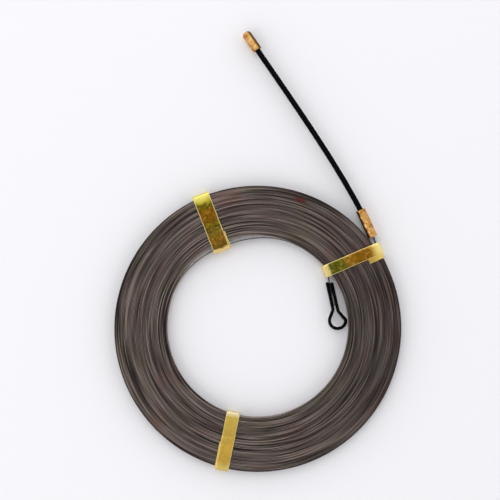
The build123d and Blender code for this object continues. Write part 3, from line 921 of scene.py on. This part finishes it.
def bullet_nose(settings):
    """Bullet-shaped nose with a rim where the leader goes in."""
    radius = settings.nose_radius
    tip = [(NOSE_LENGTH, radius), (NOSE_LENGTH, POLE_RADIUS)]
    radii = [BORE_EDGE, BORE_EDGE, NOSE_RIM, NOSE_ROUND]
    profile = rounded(bored_end(settings, radius) + tip, radii, PROFILE_STEP)
    points = flexing_points()
    ahead = to_unit(points[-1] - points[-2])
    # the painted shade lies on the nose's right flank
    material = plated_brass("nose", settings, shade_start=0.68, dark=0.8)
    piece = turned_piece("bullet_nose", profile, points[-1], ahead, material)
    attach(piece, f"link_{LINKS}")
    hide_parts("leader_nose")


# ---------------- pulling eye

EYE_SEAT = 0.03 * MM  # between each leg and the tape
EYE_START = 2.4 * MM  # where the wire starts, from the flexing point
EYE_STAGGER = 1.0 * MM  # the leg beside the coil starts this much later
EYE_NECK = 27.0 * MM  # where the legs part
NECK_STAGGER = 2.2 * MM
LOOP_REACH = 37.0 * MM
LOOP_SHIFT = -0.1 * MM
LOOP_RADIUS = 7.05 * MM
KINK_ANGLE = 77.0  # where the loop's side is bent sharply, in degrees from the tail's direction
KINK_REACH = 7.3 * MM
EYE_BENDS = np.array([5.0, 2.2, 6.9, 6.9, 5.0]) * MM
EYE_STEP = 0.3 * MM
WIRE_SIDES = 24
STRANDS = 3
STRAND_DEPTH = 0.06  # groove between two strands, as a share of the wire's radius
LEAST_CAP = 0.02  # square of the end rings' radius, as a share of the square of the wire's


def eye_corners(leg):
    """Corners of the wire's middle line, along the tape's tail and across it, from the leg beside the coil.

    Both sides run straight until they touch the loop's circle, and two tangents of the circle that touch
    it at angles a and b meet at the distance r / cos((b - a) / 2) from its centre, half way between them.
    """

    def meet(first, second):
        """Corner where the tangents at two angles meet."""
        reach = LOOP_RADIUS / cos(radians(second - first) / 2)
        middle = radians(first + second) / 2
        return LOOP_REACH + reach * cos(middle), LOOP_SHIFT + reach * sin(middle)

    kink = radians(KINK_ANGLE)
    after_kink = KINK_ANGLE - degrees(acos(LOOP_RADIUS / KINK_REACH))
    away, aside = LOOP_REACH - EYE_NECK, LOOP_SHIFT + leg
    before_neck = degrees(atan2(aside, away) - asin(LOOP_RADIUS / hypot(away, aside))) - 90
    return [
        (EYE_START + EYE_STAGGER, leg),
        (EYE_NECK + NECK_STAGGER, leg),
        (LOOP_REACH + KINK_REACH * cos(kink), LOOP_SHIFT + KINK_REACH * sin(kink)),
        meet(0, after_kink),
        meet(before_neck, 0),
        (EYE_NECK, -leg),
        (EYE_START, -leg),
    ]


def wire_eye(settings):
    """Pear-shaped loop of stranded wire, whose lacquer rounds off both cut ends.

    The section's radius is R (1 - d (1 - |cos(n (a - 2 pi s / lay) / 2)|)), so n strands turn round the
    wire once in each lay.
    """
    leg = bpy.context.scene.fish_tape.tape.thickness / 2 + EYE_SEAT + settings.wire_radius
    path = rounded(eye_corners(leg), EYE_BENDS, EYE_STEP)
    flex, tail = tail_line()
    line = flex + path[:, 0:1] * tail + path[:, 1:2] * np.array([-tail[1], tail[0]])
    spots = along(line)[:, None]
    turns = ring_angles(WIRE_SIDES)
    lobes = np.abs(np.cos(STRANDS * (turns - 2 * pi * spots / settings.lay) / 2))
    from_end = np.clip(np.minimum(spots, spots[-1] - spots) / settings.wire_radius, 0, 1)
    cap = np.sqrt(np.clip(1 - (1 - from_end) ** 2, LEAST_CAP, 1))
    radius = settings.wire_radius * cap * (1 - STRAND_DEPTH * (1 - lobes))
    rings = round_rings(line, to_unit(np.gradient(line, axis=0)), radius, turns)
    piece = closed_mesh("wire_eye", rings, black_lacquer(settings), {})
    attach(piece, "eye")
    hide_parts("pulling_eye")


# ---------------- stage

VIEW_CENTRE = (-6.5 * MM, 67.9 * MM)
FLOOR_HALF = 2.0
KEY_SIZE, KEY_PLACE = 1.35, (-0.22, 1.1, 1.6)
FILL_SIZE, FILL_PLACE = 0.7, (-0.8, -0.6, 0.9)
SKY_LOW, SKY_HIGH = 0.1, 4.3  # strength of the world's light overhead and at the horizon
SKY_SEEN = 0.95


def make_camera(settings):
    """Camera straight above the coil's hole, nearer +Y so that it sees the leader as well."""
    camera = bpy.data.cameras.new("camera")
    camera.angle = 2 * atan2(settings.view_width / 2, settings.camera_height)
    rig = bpy.data.objects.new("camera", camera)
    rig.location = (*VIEW_CENTRE, MID_HEIGHT + settings.camera_height)
    bpy.context.scene.collection.objects.link(rig)
    bpy.context.scene.camera = rig


def make_lamp(name, watts, size, place):
    """Square soft lamp that faces the coil."""
    lamp = bpy.data.lights.new(name, "AREA")
    lamp.energy = watts
    lamp.size = size
    rig = bpy.data.objects.new(name, lamp)
    rig.location = place
    rig.rotation_euler = (-Vector(place)).to_track_quat("-Z", "Y").to_euler()
    bpy.context.scene.collection.objects.link(rig)


def make_floor(settings):
    """Plain pale floor of matt paper."""
    mesh = bpy.data.meshes.new("floor")
    corners = [(FLOOR_HALF * x, FLOOR_HALF * y, 0) for x, y in ((-1, -1), (1, -1), (1, 1), (-1, 1))]
    mesh.from_pydata(corners, [], [(0, 1, 2, 3)])
    floor = bpy.data.objects.new("floor", mesh)
    bpy.context.scene.collection.objects.link(floor)
    material, _, shader = new_material("floor_paper")
    set_inputs(shader, {"Base Color": settings.floor, "Roughness": 0.9, "Specular IOR Level": 0.1})
    mesh.materials.append(material)


def make_world():
    """Pale light that is strongest near the horizon, shown even and white to the camera and in reflections.

    The strength is low + (high - low) (1 - |z|)^2, where z is the direction's height.
    """
    world = bpy.data.worlds.new("studio")
    world.use_nodes = True
    bpy.context.scene.world = world
    tree = world.node_tree
    background = tree.nodes["Background"]
    rays = add(tree, "LightPath").node.outputs
    seen = add(tree, "Math", {0: rays["Is Camera Ray"], 1: rays["Is Glossy Ray"]}, operation="MAXIMUM")
    sky = add(tree, "SeparateXYZ", {0: add(tree, "TexCoord", output="Generated")}, output=2)
    climb = add(tree, "Math", {0: sky}, operation="ABSOLUTE")
    slope = add(tree, "Math", {0: 1.0, 1: climb}, operation="SUBTRACT")
    squared = add(tree, "Math", {0: slope, 1: 2.0}, operation="POWER")
    cast = add(tree, "MapRange", {"Value": squared, "To Min": SKY_LOW, "To Max": SKY_HIGH})
    strength = add(tree, "MapRange", {"Value": seen, "To Min": cast, "To Max": SKY_SEEN})
    set_inputs(background, {"Color": linear("#FBFBFF"), "Strength": strength})


# ---------------- add-on


class FISHTAPE_OT_tape(bpy.types.Operator):
    """Make the wound tape and its flexing tail."""

    bl_idname = "fish_tape.tape"
    bl_label = "Wound tape"

    def execute(self, context):
        settings = context.scene.fish_tape.tape
        material = blued_spring_steel(settings)
        wound_tape(settings, material)
        flexing_tail(settings, material)
        return {"FINISHED"}


class FISHTAPE_OT_straps(bpy.types.Operator):
    """Make the three brass straps."""

    bl_idname = "fish_tape.straps"
    bl_label = "Brass straps"

    def execute(self, context):
        for name in STRAPS:
            folded_strap(name, context.scene.fish_tape.strap)
        return {"FINISHED"}


class FISHTAPE_OT_leader(bpy.types.Operator):
    """Make the leader's sheath, its ferrule and its nose."""

    bl_idname = "fish_tape.leader"
    bl_label = "Leader"

    def execute(self, context):
        settings = context.scene.fish_tape.leader
        leader_pieces(settings)
        crimped_ferrule(settings)
        bullet_nose(settings)
        return {"FINISHED"}


class FISHTAPE_OT_eye(bpy.types.Operator):
    """Make the pulling eye."""

    bl_idname = "fish_tape.eye"
    bl_label = "Pulling eye"

    def execute(self, context):
        wire_eye(context.scene.fish_tape.eye)
        return {"FINISHED"}


class FISHTAPE_OT_stage(bpy.types.Operator):
    """Make the floor, the light and the camera."""

    bl_idname = "fish_tape.stage"
    bl_label = "Stage"

    def execute(self, context):
        settings = context.scene.fish_tape.stage
        context.scene.view_settings.view_transform = "Standard"
        make_camera(settings)
        make_floor(settings)
        make_world()
        make_lamp("key_lamp", settings.key_power, KEY_SIZE, KEY_PLACE)
        make_lamp("fill_lamp", settings.fill_power, FILL_SIZE, FILL_PLACE)
        return {"FINISHED"}


class FISHTAPE_PT_panel(bpy.types.Panel):
    """Lists the makers of the fish tape's pieces."""

    bl_idname = "FISHTAPE_PT_panel"
    bl_label = "Fish tape"
    bl_space_type = "VIEW_3D"
    bl_region_type = "UI"
    bl_category = "Fish tape"

    def draw(self, context):
        settings = context.scene.fish_tape
        groups = (settings.tape, settings.strap, settings.leader, settings.eye, settings.stage)
        for group, operator in zip(groups, OPERATORS):
            box = self.layout.box()
            for key in group.__annotations__:
                box.prop(group, key)
            box.operator(operator.bl_idname)


OPERATORS = (
    FISHTAPE_OT_tape,
    FISHTAPE_OT_straps,
    FISHTAPE_OT_leader,
    FISHTAPE_OT_eye,
    FISHTAPE_OT_stage,
)
CLASSES = (
    TapeSettings,
    StrapSettings,
    LeaderSettings,
    EyeSettings,
    StageSettings,
    FishTapeSettings,
    *OPERATORS,
    FISHTAPE_PT_panel,
)


def register():
    """Adds the settings, operators and panel."""
    for kind in CLASSES:
        bpy.utils.register_class(kind)
    bpy.types.Scene.fish_tape = PointerProperty(type=FishTapeSettings)


def unregister():
    """Takes them away again."""
    del bpy.types.Scene.fish_tape
    for kind in reversed(CLASSES):
        bpy.utils.unregister_class(kind)


def main():
    """Makes every piece and the stage."""
    register()
    bpy.ops.fish_tape.stage()
    bpy.ops.fish_tape.tape()
    bpy.ops.fish_tape.straps()
    bpy.ops.fish_tape.leader()
    bpy.ops.fish_tape.eye()


if __name__ == "__main__":
    main()
